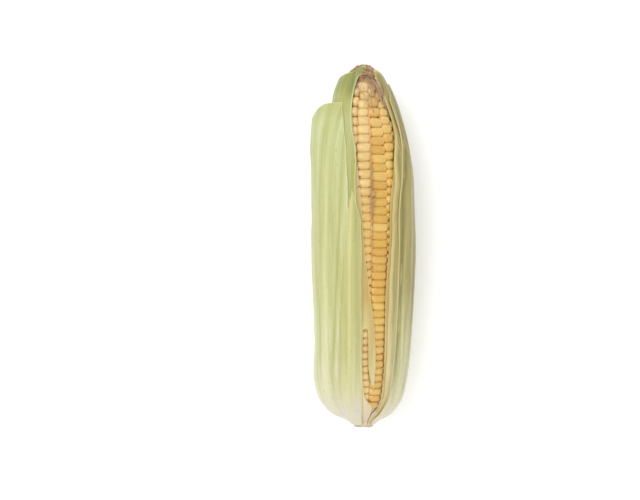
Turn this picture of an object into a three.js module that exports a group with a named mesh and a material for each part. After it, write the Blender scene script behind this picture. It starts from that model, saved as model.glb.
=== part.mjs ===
// A fresh ear of sweetcorn, half husked and lying on its side: a woody cob that
// runs on from the cut stem, sixteen rows of kernels, nine husk leaves in three
// layers with a long opening on top, and a tuft of dry silk at the tip.
//
// Units are millimetres and +Z is up. The ear is modelled along +Y with its stem
// end at y = 0 and its axis at x = z = 0, then moved so that the origin is the
// middle of the underside of its box. Angles go round the axis in degrees, 0 is
// straight up and they grow towards +X. A share is a share of the ear's length.
import * as THREE from 'three';

// Driving dimensions
const earLength = 190; // cut of the stem to the tip of the silk
const kernelRadius = 22.5; // over the kernel crowns, at the widest place
const cobRadius = 13.5; // woody cob under the kernels, at its widest place
const stemRadius = 5.5; // cut stem
const stemStub = 3.5; // bare stem below the husk leaves
const rowCount = 16; // rows of kernels round the cob
const mainRowAngle = 21.8; // the row in the middle of the opening
const rowGap = 0.35; // between neighbouring rows
const kernelStart = 11; // first kernel, from the stem end
const kernelEnd = 181; // last kernel, from the stem end
const basePitch = 3.4; // length of one kernel along its row, at the stem
const tipPitch = 5; // length of one kernel along its row, at the tip
const notchDepth = 0.9; // groove between two kernels of a row
const leafThickness = 1.2; // one husk leaf
const tipThinning = 0.5; // share of its thickness that a leaf keeps at the tip
const leafGap = 0.45; // between a leaf and what it lies on
const lowestLeafExtra = 0.6; // the lowest leaf is this much thicker than the others
const restFlat = 1.15; // how far the lowest leaf is pressed flat by the ear's weight
const restHalfWidth = 5; // half the width of the face it is pressed into
const facetAngle = 14; // the widest facet across a leaf
const lengthFacets = 17; // facets along the ear, shared by every leaf
const cobFacets = 11; // facets along the cob under the kernels

const layerCount = 3;
const lowestLeafRadius = kernelRadius + layerCount * (leafGap + leafThickness) + lowestLeafExtra;
const restDistance = lowestLeafRadius - restFlat; // axis to the resting face
const restAngle = THREE.MathUtils.radToDeg(Math.atan(restHalfWidth / restDistance));

// Outlines, as radius along the ear
const wrapOutline = [
  [stemStub, stemRadius],
  [0.045 * earLength, 0.5 * kernelRadius],
  [0.085 * earLength, 0.7 * kernelRadius],
  [0.17 * earLength, 0.835 * kernelRadius],
  [0.32 * earLength, 0.94 * kernelRadius],
  [0.5 * earLength, kernelRadius],
  [0.66 * earLength, 0.98 * kernelRadius],
  [0.78 * earLength, 0.86 * kernelRadius],
  [0.88 * earLength, 0.66 * kernelRadius],
  [0.95 * earLength, 0.44 * kernelRadius],
  [0.978 * earLength, 0.31 * kernelRadius],
  [earLength, 0.12 * kernelRadius],
];
const cobOutline = [
  [stemStub, stemRadius],
  [kernelStart, 0.68 * cobRadius],
  [0.12 * earLength, 0.92 * cobRadius],
  [0.45 * earLength, cobRadius],
  [0.75 * earLength, 0.82 * cobRadius],
  [0.88 * earLength, 0.55 * cobRadius],
  [kernelEnd, 0.2 * cobRadius],
];

// The value at any place along a line of [place, value] points
function straightLine(points) {
  return (along) => {
    if (along <= points[0][0]) return points[0][1];
    const next = points.findIndex((point) => point[0] >= along);
    if (next < 0) return points[points.length - 1][1];
    const [x0, value0] = points[next - 1];
    const [x1, value1] = points[next];
    return value0 + ((along - x0) / (x1 - x0)) * (value1 - value0);
  };
}

// The same with a smooth curve through the points, which never swings past them
function smoothLine(points) {
  const last = points.length - 1;
  const slopes = points.slice(1).map(([x, value], i) => (value - points[i][1]) / (x - points[i][0]));
  const tangents = points.map((point, i) => {
    if (i === 0 || i === last) return slopes[i === 0 ? 0 : last - 1];
    const [before, after] = [slopes[i - 1], slopes[i]];
    return before * after > 0 ? (2 * before * after) / (before + after) : 0;
  });
  return (along) => {
    if (along <= points[0][0]) return points[0][1];
    const next = points.findIndex((point) => point[0] >= along);
    if (next < 0) return points[last][1];
    const [x0, value0] = points[next - 1];
    const [x1, value1] = points[next];
    const width = x1 - x0;
    const t = (along - x0) / width;
    const fromStart = (1 + 2 * t) * (1 - t) ** 2 * value0 + t * (1 - t) ** 2 * width * tangents[next - 1];
    const fromEnd = t * t * (3 - 2 * t) * value1 + t * t * (t - 1) * width * tangents[next];
    return fromStart + fromEnd;
  };
}

// Shares of the length where every leaf has a line of points, closer together
// near both ends of the ear, where its outline turns quickly
const sharedStations = [];
for (let i = 0; i <= lengthFacets; i += 1) {
  const part = i / lengthFacets;
  const eased = (1 - Math.cos(Math.PI * part)) / 2;
  sharedStations.push(stemStub / earLength + (1 - stemStub / earLength) * (0.3 * part + 0.7 * eased));
}

// What the innermost leaves lie on, straight between the shared stations, so that
// leaves with different ends still lie on each other without crossing
const roundedWrap = smoothLine(wrapOutline);
const wrapPoints = sharedStations.map((share) => [share * earLength, roundedWrap(share * earLength)]);
const wrapRadius = straightLine(wrapPoints);
const cobSurface = smoothLine(cobOutline);

function standardMaterial(color, roughness) {
  return new THREE.MeshStandardMaterial({ color, roughness, metalness: 0 });
}

const kernelColours = [0xe0b653, 0xe6bd5c, 0xdcb04e];
const huskGreen = 0xc3c98a;
const huskPale = 0xd8d6a2;
const huskOlive = 0xb6ab6c;
const liningBeige = 0xdac894;

// The cob's facets along the kernels; the rows' inner sides follow the same ones
const cobStations = [];
for (let i = 0; i <= cobFacets; i += 1) {
  const y = kernelStart + ((kernelEnd - kernelStart) * i) / cobFacets;
  cobStations.push(new THREE.Vector2(cobSurface(y), y));
}

// Cut stem and woody cob, grown as one piece
function stalkAndCob() {
  const profile = [
    new THREE.Vector2(0, 0),
    new THREE.Vector2(stemRadius, 0),
    new THREE.Vector2(stemRadius, stemStub),
    ...cobStations,
    new THREE.Vector2(0, kernelEnd),
  ];
  return new THREE.Mesh(new THREE.LatheGeometry(profile, rowCount), standardMaterial(0xe4dcc0, 0.8));
}

// Where each kernel of a row begins, from the stem end to the tip
function kernelEdges() {
  const edges = [kernelStart];
  while (true) {
    const y = edges[edges.length - 1];
    const pitch = basePitch + ((tipPitch - basePitch) * (y - kernelStart)) / (kernelEnd - kernelStart);
    if (y + pitch > kernelEnd) return edges;
    edges.push(y + pitch);
  }
}

// Side view of one row: crowns and grooves outside, the cob's line inside.
// The crown corners, not their middles, reach the kernel surface.
function rowOutline() {
  const edges = kernelEdges();
  const cornerShare = Math.cos(Math.PI / rowCount);
  const outline = new THREE.Shape();
  edges.forEach((y, i) => {
    const groove = (wrapRadius(y) - notchDepth) * cornerShare;
    if (i === 0) outline.moveTo(groove, y);
    else outline.lineTo(groove, y);
    if (i === edges.length - 1) return;
    const crownY = (y + edges[i + 1]) / 2;
    outline.lineTo(wrapRadius(crownY) * cornerShare, crownY);
  });
  const last = edges[edges.length - 1];
  const covered = cobStations.filter((station) => station.y < last - 0.1);
  const next = cobStations[covered.length];
  const before = covered[covered.length - 1];
  const part = (last - before.y) / (next.y - before.y);
  outline.lineTo(before.x + part * (next.x - before.x) + rowGap, last);
  covered.reverse().forEach((station) => outline.lineTo(station.x + rowGap, station.y));
  return outline;
}

// One row is a wedge: its width grows with the distance from the axis
function kernelRow(index) {
  const geometry = new THREE.ExtrudeGeometry(rowOutline(), { depth: 1, steps: 1, bevelEnabled: false });
  const position = geometry.attributes.position;
  const slope = Math.tan(Math.PI / rowCount);
  for (let i = 0; i < position.count; i += 1) {
    const radius = position.getX(i);
    const side = position.getZ(i) > 0.5 ? -1 : 1;
    position.setXYZ(i, side * (radius * slope - rowGap / 2), position.getY(i), radius);
  }
  geometry.computeVertexNormals();
  const colour = kernelColours[index % kernelColours.length];
  const row = new THREE.Mesh(geometry, standardMaterial(colour, 0.35));
  row.rotation.y = THREE.MathUtils.degToRad(mainRowAngle + (index * 360) / rowCount);
  return row;
}

// Leaf thickness falls off over the last quarter of the ear
function thicknessAt(y) {
  const toTip = THREE.MathUtils.smoothstep(y / earLength, 0.75, 1);
  return leafThickness * (1 - (1 - tipThinning) * toTip);
}

// Shares along a leaf: its own ends and extra ones, and the shared stations between
function leafStations(start, end, extra) {
  const own = [start, ...extra, end];
  const clear = (share) => own.every((value) => Math.abs(share - value) > 0.005);
  const between = sharedStations.filter((share) => share > start && share < end && clear(share));
  return own.concat(between).sort((a, b) => a - b);
}

// A leaf is a curved sheet with an outer and an inner side. Its edges are lines
// of [share of length, angle], and absent(share, strip) leaves out the facets of
// the strip between two neighbouring lines, for a slit in the leaf. The inner
// points stand out a little, so that the flat facets between them clear what
// the leaf lies on. A leaf may gape: stand says how far its first edge stands off
// along the leaf, and its last edge stays down.
function leafGeometry(leaf) {
  const { layer, start, end, lines, stand = straight(0), extra = [], absent = () => false, lowest } = leaf;
  const stations = leafStations(start, end, extra);
  const curves = lines.map((line) => smoothLine(line));
  const standOff = smoothLine(stand);
  const counts = stripCounts(curves, stations);
  const strips = counts.flatMap((count, strip) => Array(count).fill(strip));
  const positions = [];
  stations.forEach((share) => {
    const y = share * earLength;
    const thickness = thicknessAt(y);
    const clearRadius = wrapRadius(y) + leafGap + layer * (thickness + leafGap);
    const angles = columnAngles(curves, counts, share);
    const widest = angles.slice(1).reduce((most, angle, i) => Math.max(most, angle - angles[i]), 0);
    const clearInner = clearRadius / Math.cos(THREE.MathUtils.degToRad(widest / 2));
    angles.forEach((degrees) => {
      const angle = THREE.MathUtils.degToRad(degrees);
      const across = (degrees - angles[0]) / (angles[angles.length - 1] - angles[0]);
      const gape = standOff(share) * (1 - across * across);
      const inner = clearInner + gape;
      const round = clearRadius + thickness + gape + (lowest ? lowestLeafExtra : 0);
      const outer = lowest ? Math.min(round, restDistance / -Math.cos(angle)) : round;
      positions.push(outer * Math.sin(angle), y, outer * Math.cos(angle));
      positions.push(inner * Math.sin(angle), y, inner * Math.cos(angle));
    });
  });
  const geometry = new THREE.BufferGeometry();
  geometry.setAttribute('position', new THREE.Float32BufferAttribute(positions, 3));
  geometry.setIndex(sheetTriangles(stations, strips, absent));
  geometry.computeVertexNormals();
  return geometry;
}

// How many facets each strip between two lines needs across it
function stripCounts(curves, stations) {
  return curves.slice(1).map((curve, k) => {
    const widths = stations.map((share) => curve(share) - curves[k](share));
    return Math.ceil(Math.max(...widths) / facetAngle);
  });
}

function columnAngles(curves, counts, share) {
  const angles = [curves[0](share)];
  counts.forEach((count, k) => {
    const from = curves[k](share);
    const to = curves[k + 1](share);
    for (let j = 1; j <= count; j += 1) angles.push(from + ((to - from) * j) / count);
  });
  return angles;
}

// Both sides of every facet that is there, and a wall where its neighbour isn't
function sheetTriangles(stations, strips, absent) {
  const columnCount = strips.length;
  const outer = (i, j) => 2 * (i * (columnCount + 1) + j);
  const inner = (i, j) => outer(i, j) + 1;
  const index = [];
  const quad = (a, b, c, d) => index.push(a, b, c, a, c, d);
  const there = (i, j) => {
    if (i < 0 || j < 0 || i >= stations.length - 1 || j >= columnCount) return false;
    return !absent((stations[i] + stations[i + 1]) / 2, strips[j]);
  };
  for (let i = 0; i < stations.length - 1; i += 1) {
    for (let j = 0; j < columnCount; j += 1) {
      if (!there(i, j)) continue;
      quad(outer(i, j), outer(i, j + 1), outer(i + 1, j + 1), outer(i + 1, j));
      quad(inner(i, j), inner(i + 1, j), inner(i + 1, j + 1), inner(i, j + 1));
      if (!there(i - 1, j)) quad(outer(i, j), inner(i, j), inner(i, j + 1), outer(i, j + 1));
      if (!there(i + 1, j)) {
        quad(outer(i + 1, j), outer(i + 1, j + 1), inner(i + 1, j + 1), inner(i + 1, j));
      }
      if (!there(i, j - 1)) quad(outer(i, j), outer(i + 1, j), inner(i + 1, j), inner(i, j));
      if (!there(i, j + 1)) {
        quad(outer(i, j + 1), inner(i, j + 1), inner(i + 1, j + 1), outer(i + 1, j + 1));
      }
    }
  }
  return index;
}

function straight(angle) {
  return [[0, angle], [1, angle]];
}

// The slit in the left lining: its upper end, and the free end of the torn strip
const slitTop = 0.272;
const stripEnd = 0.107;

const leaves = {
  lining_leaf_left: {
    layer: 0, start: 0.03, end: 0.965, colour: liningBeige, extra: [stripEnd, slitTop],
    lines: [
      straight(-178),
      [[0, 20], [0.05, 18], [0.075, 8], [0.1, 0.5], [0.17, -2.6], [0.23, -2.4], [slitTop, -1.2],
        [0.32, -2], [0.5, -12], [0.8, -34], [1, -50]],
      [[0, 21], [0.06, 18.4], [stripEnd, 16.2], [0.13, 11], [0.17, 6.8], [0.23, 6], [slitTop, 5.4],
        [0.32, 4.5], [0.5, -5], [0.8, -24], [1, -40]],
      [[0, 22], [0.06, 19.6], [stripEnd, 17.6], [0.17, 18.8], [0.28, 14.4], [0.38, 7.2], [0.49, 0.6],
        [0.6, -3.2], [0.71, -8.7], [0.82, -18.3], [0.92, -27], [1, -30]],
    ],
    absent: (share, strip) => (strip === 1 && share < slitTop) || (strip === 2 && share < stripEnd),
  },
  lining_leaf_right: {
    layer: 0, start: 0.03, end: 0.94, colour: liningBeige,
    lines: [
      [[0, 25], [0.04, 27], [0.06, 32], [0.1, 34], [0.16, 33], [0.24, 32], [0.35, 31], [0.46, 31.5],
        [0.6, 34], [0.71, 45], [0.83, 58], [1, 62]],
      straight(179),
    ],
  },
  inner_leaf_left: {
    layer: 1, start: 0.025, end: 0.985, colour: huskGreen,
    lines: [
      [[0, -106], [0.8, -106], [0.9, -90], [1, -60]],
      [[0, -12], [0.3, -10], [0.55, -9], [0.67, -10.3], [0.76, -12.6], [0.87, -22.9], [0.93, -24],
        [1, -50]],
    ],
  },
  inner_leaf_right: {
    layer: 1, start: 0.025, end: 0.98, colour: huskOlive,
    lines: [
      [[0, 30], [0.07, 39], [0.13, 37.5], [0.24, 35.5], [0.46, 35], [0.58, 36], [0.71, 46], [0.83, 57],
        [0.93, 43.8], [1, 30]],
      [[0, 132], [0.72, 132], [0.88, 122], [1, 104]],
    ],
  },
  inner_leaf_under: {
    layer: 1, start: 0.025, end: 0.955, colour: huskPale,
    lines: [straight(134.5), straight(251)],
  },
  outer_leaf_left: {
    layer: 2, start: 0.02, end: 0.885, colour: huskGreen,
    stand: [[0.58, 0], [0.66, 0.6], [0.72, 2], [0.76, 4], [0.8, 5.6], [0.85, 8.1], [0.885, 9.3]],
    lines: [
      straight(-140),
      [[0, -48], [0.07, -44.5], [0.185, -34.6], [0.35, -28.4], [0.49, -23.5], [0.625, -21.3], [0.76, -24.9],
        [0.82, -29], [0.89, -50]],
    ],
  },
  outer_leaf_lower_left: {
    layer: 2, start: 0.02, end: 0.645, colour: huskPale,
    lines: [
      [[0, -46.2], [0.07, -42.7], [0.185, -32.8], [0.35, -26.6], [0.49, -21.7], [0.6, -17.8],
        [0.65, -15.8]],
      [[0, -6], [0.13, -3.4], [0.27, -4.2], [0.39, -4], [0.49, -2.8], [0.56, -4], [0.6, -8.4],
        [0.65, -14.8]],
    ],
  },
  outer_leaf_right: {
    layer: 2, start: 0.02, end: 0.93, colour: huskOlive,
    lines: [
      [[0, 34], [0.07, 42], [0.13, 44], [0.24, 45], [0.46, 45.5], [0.58, 46], [0.7, 54], [0.8, 64],
        [0.93, 66]],
      [[0, 149], [0.68, 149], [0.8, 141], [0.93, 120]],
    ],
  },
  outer_leaf_under: {
    layer: 2, start: 0.02, end: 0.9, colour: huskPale, lowest: true,
    lines: [straight(151), straight(180 - restAngle), straight(180 + restAngle), straight(218)],
  },
};

// Dry silk matted at the tip, above the last kernels and inside the leaf tips
function silkTuft() {
  const base = kernelEnd + rowGap;
  const inside = (y) => wrapRadius(y) - rowGap;
  const stations = 6;
  const profile = [new THREE.Vector2(0, base)];
  for (let i = 0; i <= stations; i += 1) {
    const y = base + ((earLength - base) * i) / stations;
    profile.push(new THREE.Vector2(inside(y), y));
  }
  profile.push(new THREE.Vector2(0, earLength));
  return new THREE.Mesh(new THREE.LatheGeometry(profile, rowCount), standardMaterial(0x9f855c, 0.9));
}

function addNamed(group, name, mesh) {
  mesh.name = name;
  group.add(mesh);
}

const ear = new THREE.Group();
addNamed(ear, 'stalk_and_cob', stalkAndCob());
for (let i = 0; i < rowCount; i += 1) {
  addNamed(ear, `kernel_row_${String(i + 1).padStart(2, '0')}`, kernelRow(i));
}
for (const [name, leaf] of Object.entries(leaves)) {
  addNamed(ear, name, new THREE.Mesh(leafGeometry(leaf), standardMaterial(leaf.colour, 0.65)));
}
addNamed(ear, 'silk_tuft', silkTuft());

const box = new THREE.Box3().setFromObject(ear);
ear.position.set(-(box.min.x + box.max.x) / 2, -(box.min.y + box.max.y) / 2, -box.min.z);

export default ear;
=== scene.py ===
"""A part-husked ear of sweetcorn, lying on its side with its opening up.

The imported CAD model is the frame: it gives the axis of the ear, its length and the
face it lies on. Leaves are thin ribbed sheets, kernels are single shaped grains, and
the silk is a clotted mat with strands over it. Every piece is a detailed stand-in for
one CAD node, except the mat, which lies under the strands that stand in for the silk.
Shapes are worked out in millimetres round the ear's axis, as in the CAD model: an
angle of 0 is straight up and grows towards +X, and a share is a share of the ear's
length from the cut stem. Points become metres when they are placed.
"""
import math

import bpy
import numpy as np
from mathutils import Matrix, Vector


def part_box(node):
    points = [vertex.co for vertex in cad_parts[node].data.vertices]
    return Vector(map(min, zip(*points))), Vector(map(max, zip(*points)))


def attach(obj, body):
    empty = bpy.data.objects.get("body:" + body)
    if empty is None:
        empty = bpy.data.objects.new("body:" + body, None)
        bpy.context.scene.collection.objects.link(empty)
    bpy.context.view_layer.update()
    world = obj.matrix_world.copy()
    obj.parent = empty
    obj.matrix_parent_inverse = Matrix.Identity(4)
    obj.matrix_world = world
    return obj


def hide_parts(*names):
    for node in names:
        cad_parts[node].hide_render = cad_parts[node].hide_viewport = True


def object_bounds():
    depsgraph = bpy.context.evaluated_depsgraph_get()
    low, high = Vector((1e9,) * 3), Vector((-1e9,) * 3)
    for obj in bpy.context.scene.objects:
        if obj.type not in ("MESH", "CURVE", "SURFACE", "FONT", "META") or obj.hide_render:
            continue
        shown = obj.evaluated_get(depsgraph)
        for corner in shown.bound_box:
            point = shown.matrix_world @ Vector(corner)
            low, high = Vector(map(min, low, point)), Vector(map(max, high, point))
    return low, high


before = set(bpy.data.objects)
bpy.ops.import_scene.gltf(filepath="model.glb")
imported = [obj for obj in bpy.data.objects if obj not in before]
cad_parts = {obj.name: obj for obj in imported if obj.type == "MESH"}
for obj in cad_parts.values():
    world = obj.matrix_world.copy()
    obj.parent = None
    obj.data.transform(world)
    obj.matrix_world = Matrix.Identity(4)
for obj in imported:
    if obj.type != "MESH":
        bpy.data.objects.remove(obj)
cad_low, cad_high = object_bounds()

MM = 0.001
stem_low, stem_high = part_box("stalk_and_cob")
AXIS_X = (stem_low.x + stem_high.x) / 2
AXIS_Z = (stem_low.z + stem_high.z) / 2
STEM_Y = stem_low.y
LENGTH = (cad_high.y - cad_low.y) / MM
REST_DISTANCE = AXIS_Z / MM  # from the axis down to the surface the ear lies on

# The same sizes as the CAD model, in millimetres
KERNEL_RADIUS = 22.5
COB_RADIUS = 13.5
STEM_RADIUS = 5.5
STEM_STUB = 3.5
ROW_COUNT = 16
MAIN_ROW_ANGLE = 21.8
KERNEL_START, KERNEL_END = 11.0, 181.0
BASE_PITCH, TIP_PITCH = 3.4, 5.0
LEAF_THICKNESS, TIP_THINNING, LEAF_GAP = 1.2, 0.5, 0.45
LOWEST_LEAF_EXTRA = 0.6

SHEET, LINING_SHEET = 0.42, 0.22  # how thick a husk leaf is, and one of the lining
LEAF_SLACK = 0.3  # between the kernels and the lowest layer of leaves
STEM_PINCH = 0.6  # by which all leaves are drawn in where they grow
CROWDED, CROWDING_END = 0.14, 0.038  # how close layers lie at the stem, and up to which share
LIGHT_LEVEL = 1.3  # the studio light makes a surface this much brighter than its paint


# ---------------------------------------------------------------- curves and noise

def smooth_line(points):
    """A smooth curve through [place, value] points that never swings past them."""
    x, value = np.array(points, float).T
    slopes = np.diff(value) / np.diff(x)
    tangents = np.zeros(len(x))
    tangents[0], tangents[-1] = slopes[0], slopes[-1]
    before, after = slopes[:-1], slopes[1:]
    same = before * after > 0
    tangents[1:-1][same] = 2 * before[same] * after[same] / (before[same] + after[same])

    def at(where):
        where = np.clip(where, x[0], x[-1])
        i = np.clip(np.searchsorted(x, where, side="right") - 1, 0, len(x) - 2)
        width = x[i + 1] - x[i]
        t = (where - x[i]) / width
        start = (1 + 2 * t) * (1 - t) ** 2 * value[i] + t * (1 - t) ** 2 * width * tangents[i]
        end = t * t * (3 - 2 * t) * value[i + 1] + t * t * (t - 1) * width * tangents[i + 1]
        return start + end

    return at


def smooth_step(x, low, high):
    """From 0 at low to 1 at high, level at both ends."""
    t = np.clip((x - low) / (high - low), 0, 1)
    return t * t * (3 - 2 * t)


def at_least(least, x):
    """Squeeze 0 to 1 into least to 1."""
    return least + (1 - least) * x


def noise(x, y, seed):
    """Smooth noise from -1 to 1 on the plane, with features about one unit across."""
    size = 64
    table = np.random.default_rng(seed).uniform(-1, 1, (size, size))
    xi, yi = np.floor(x).astype(int), np.floor(y).astype(int)
    fx, fy = x - xi, y - yi
    fx, fy = fx * fx * (3 - 2 * fx), fy * fy * (3 - 2 * fy)
    x0, x1, y0, y1 = xi % size, (xi + 1) % size, yi % size, (yi + 1) % size
    low = table[x0, y0] * (1 - fx) + table[x1, y0] * fx
    high = table[x0, y1] * (1 - fx) + table[x1, y1] * fx
    return low * (1 - fy) + high * fy


# Radius over the kernels, and radius of the cob under them, by distance from the cut
WRAP = smooth_line([[STEM_STUB, STEM_RADIUS]] + [
    [share * LENGTH, part * KERNEL_RADIUS] for share, part in (
        (0.045, 0.5), (0.085, 0.7), (0.17, 0.835), (0.32, 0.94), (0.5, 1), (0.66, 0.98),
        (0.78, 0.86), (0.88, 0.66), (0.95, 0.44), (0.978, 0.31), (1, 0.12),
    )
])
COB = smooth_line([
    [STEM_STUB, STEM_RADIUS], [KERNEL_START, 0.68 * COB_RADIUS], [0.12 * LENGTH, 0.92 * COB_RADIUS],
    [0.45 * LENGTH, COB_RADIUS], [0.75 * LENGTH, 0.82 * COB_RADIUS], [0.88 * LENGTH, 0.55 * COB_RADIUS],
    [KERNEL_END, 0.2 * COB_RADIUS],
])


def leaf_allowance(y):
    """How thick the CAD leaf is at y: it thins towards the tip."""
    return LEAF_THICKNESS * (1 - (1 - TIP_THINNING) * smooth_step(y / LENGTH, 0.75, 1))


def layer_step(y):
    """From one layer of leaves to the next: they crowd together where they grow."""
    return (leaf_allowance(y) + LEAF_GAP) * at_least(CROWDED, smooth_step(y / LENGTH, 0.0, CROWDING_END))


# ---------------------------------------------------------------- meshes

def place(radius, angle, y):
    """Points in metres in the row frame, from millimetres and degrees round the axis."""
    turn = np.radians(angle)
    x = AXIS_X + MM * radius * np.sin(turn)
    z = AXIS_Z + MM * radius * np.cos(turn)
    return np.stack([x, STEM_Y + MM * y + 0 * x, z], axis=-1).reshape(-1, 3)


def place_beside_axis(right, along, up):
    """Points in metres in the row frame, from millimetres beside, along and above the axis."""
    return np.stack([AXIS_X + MM * right, STEM_Y + MM * along, AXIS_Z + MM * up], axis=1)


def make_piece(name, points, faces, attributes, material, uv=None):
    """A smooth mesh object with one material and a number at each point per attribute."""
    mesh = bpy.data.meshes.new(name)
    mesh.from_pydata(points.tolist(), [], faces.tolist() if hasattr(faces, "tolist") else faces)
    for key, values in attributes.items():
        layer = mesh.attributes.new(key, "FLOAT", "POINT")
        layer.data.foreach_set("value", np.asarray(values, np.float32).ravel())
    if uv is not None:
        corner = np.zeros(len(mesh.loops), int)
        mesh.loops.foreach_get("vertex_index", corner)
        mesh.uv_layers.new(name="UVMap").data.foreach_set("uv", uv[corner].ravel())
    mesh.polygons.foreach_set("use_smooth", np.ones(len(mesh.polygons), bool))
    mesh.materials.append(material)
    mesh.update()
    piece = bpy.data.objects.new(name, mesh)
    bpy.context.scene.collection.objects.link(piece)
    return piece


def grid_faces(rows, columns, wanted=None):
    """Faces of an open sheet of points, or only those that are wanted."""
    i, j = np.meshgrid(np.arange(rows - 1), np.arange(columns - 1), indexing="ij")
    if wanted is not None:
        i, j = i[wanted], j[wanted]
    first = (i * columns + j).ravel()
    return np.stack([first, first + 1, first + columns + 1, first + columns], axis=1)


def closed_rings(rows, columns):
    """Faces of a tube of rings, with an end cap on the first and on the last."""
    i, j = np.meshgrid(np.arange(rows - 1), np.arange(columns), indexing="ij")
    i, j = i.ravel(), j.ravel()
    k = (j + 1) % columns
    sides = np.stack([i * columns + j, i * columns + k, (i + 1) * columns + k, (i + 1) * columns + j], axis=1)
    caps = [list(range(columns))[::-1], list(range((rows - 1) * columns, rows * columns))]
    return sides.tolist() + caps


def crisp_rim(mesh):
    """Keep the cut edge of a sheet from being shaded round."""
    used = np.zeros(len(mesh.loops), int)
    mesh.loops.foreach_get("edge_index", used)
    rim = np.bincount(used, minlength=len(mesh.edges)) == 1
    mesh.attributes.new("sharp_edge", "BOOLEAN", "EDGE").data.foreach_set("value", rim)


def stand_in(piece, slot, *nodes):
    """The piece takes the place of these CAD nodes. Its slot is not used."""
    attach(piece, "root")
    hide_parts(*nodes)


# ---------------------------------------------------------------- materials

def new_material(name):
    material = bpy.data.materials.new(name)
    material.use_nodes = True
    return material, material.node_tree, material.node_tree.nodes["Principled BSDF"]


def set_sockets(node, **values):
    """Numbers for a node's own sockets. A _ stands for a space in a socket's name."""
    for key, value in values.items():
        node.inputs[key.replace("_", " ")].default_value = value


def add(tree, kind, **settings):
    """A new node, with settings that are either its properties or its sockets."""
    made = tree.nodes.new("ShaderNode" + kind)
    for key, value in settings.items():
        if hasattr(made, key):
            setattr(made, key, value)
        else:
            set_sockets(made, **{key: value})
    return made


def attributes_of(tree, *names):
    return [add(tree, "Attribute", attribute_name=name).outputs["Fac"] for name in names]


def math_node(tree, operation, *terms):
    made = add(tree, "Math", operation=operation)
    for socket, value in zip(made.inputs, terms):
        if isinstance(value, (int, float)):
            socket.default_value = value
        else:
            tree.links.new(value, socket)
    return made.outputs[0]


def mix_colour(tree, share, a, b):
    """Colour a where share is 0 and colour b where it is 1."""
    made = add(tree, "Mix", data_type="RGBA")
    for socket, value in ((made.inputs[0], share), (made.inputs[6], a), (made.inputs[7], b)):
        if isinstance(value, tuple):
            socket.default_value = (*value, 1)
        else:
            tree.links.new(value, socket)
    return made.outputs[2]


def ramp(tree, value, stops):
    """stops are (place, colour) pairs, or (place, number) for a grey ramp."""
    made = add(tree, "ValToRGB")
    elements = made.color_ramp.elements
    for i, (where, colour) in enumerate(stops):
        element = elements[i] if i < 2 else elements.new(where)
        element.position = where
        element.color = (*colour, 1) if isinstance(colour, tuple) else (colour, colour, colour, 1)
    tree.links.new(value, made.inputs[0])
    return made.outputs[0]


def overlay(tree, colour, pattern, stops, other):
    """Lay another colour over this one, as far as a grey ramp of the pattern says."""
    return mix_colour(tree, ramp(tree, pattern, stops), colour, other)


def streaks(tree, across, along, width, length, seed, detail=2.0):
    """Noise drawn out along the leaf: width and length in millimetres."""
    vector = add(tree, "CombineXYZ", Z=float(seed))
    tree.links.new(math_node(tree, "MULTIPLY", across, 1 / width), vector.inputs[0])
    tree.links.new(math_node(tree, "MULTIPLY", along, 1 / length), vector.inputs[1])
    made = add(tree, "TexNoise", Scale=1.0, Detail=detail, Roughness=0.6)
    tree.links.new(vector.outputs[0], made.inputs["Vector"])
    return made.outputs["Fac"]


def grain(tree, scale, detail):
    """Noise over the whole object, the finer the larger its scale."""
    return add(tree, "TexNoise", Scale=scale, Detail=detail).outputs["Fac"]


def add_bump(tree, shader, height, strength, distance):
    bump = add(tree, "Bump", Strength=strength, Distance=distance)
    tree.links.new(height, bump.inputs["Height"])
    tree.links.new(bump.outputs[0], shader.inputs["Normal"])


def paint(red, green, blue):
    """What to paint so that this sRGB colour, 0 to 255, is what the studio light shows."""
    def channel(value):
        value /= 255
        return (value / 12.92 if value <= 0.04045 else ((value + 0.055) / 1.055) ** 2.4) / LIGHT_LEVEL
    return channel(red), channel(green), channel(blue)


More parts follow.
